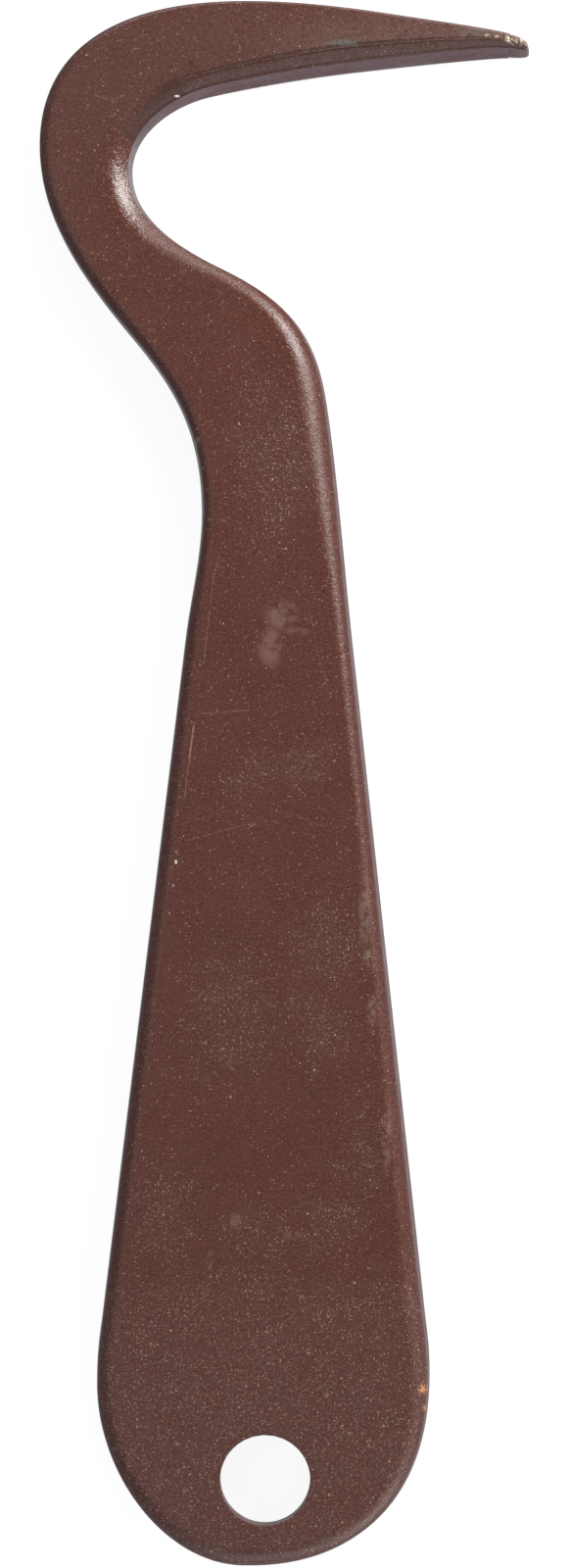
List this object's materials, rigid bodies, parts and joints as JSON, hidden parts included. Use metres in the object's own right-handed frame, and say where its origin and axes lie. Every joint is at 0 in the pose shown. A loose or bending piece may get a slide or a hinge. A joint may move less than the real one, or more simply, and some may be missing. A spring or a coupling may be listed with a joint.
{
  "type": "hoof pick",
  "caption": "Flat one-piece iron hoof pick with a hooked beak, slim neck, broad tapered handle and a hanging hole, in a thin brown coat.",
  "frame": {"origin": "on the back, under the middle of the outline", "axes": "+X the way the beak points, +Y from the handle's end to the hook, +Z out of the face"},
  "size_m": [0.0502, 0.1598, 0.005],
  "materials": {
    "bare_iron": "worn bright at the point",
    "brown_coat": "satin baked coat with a fine grain"
  },
  "bodies": {
    "root": {"iron_body": "bare_iron", "brown_coating": "brown_coat"}
  },
  "joints": []
}
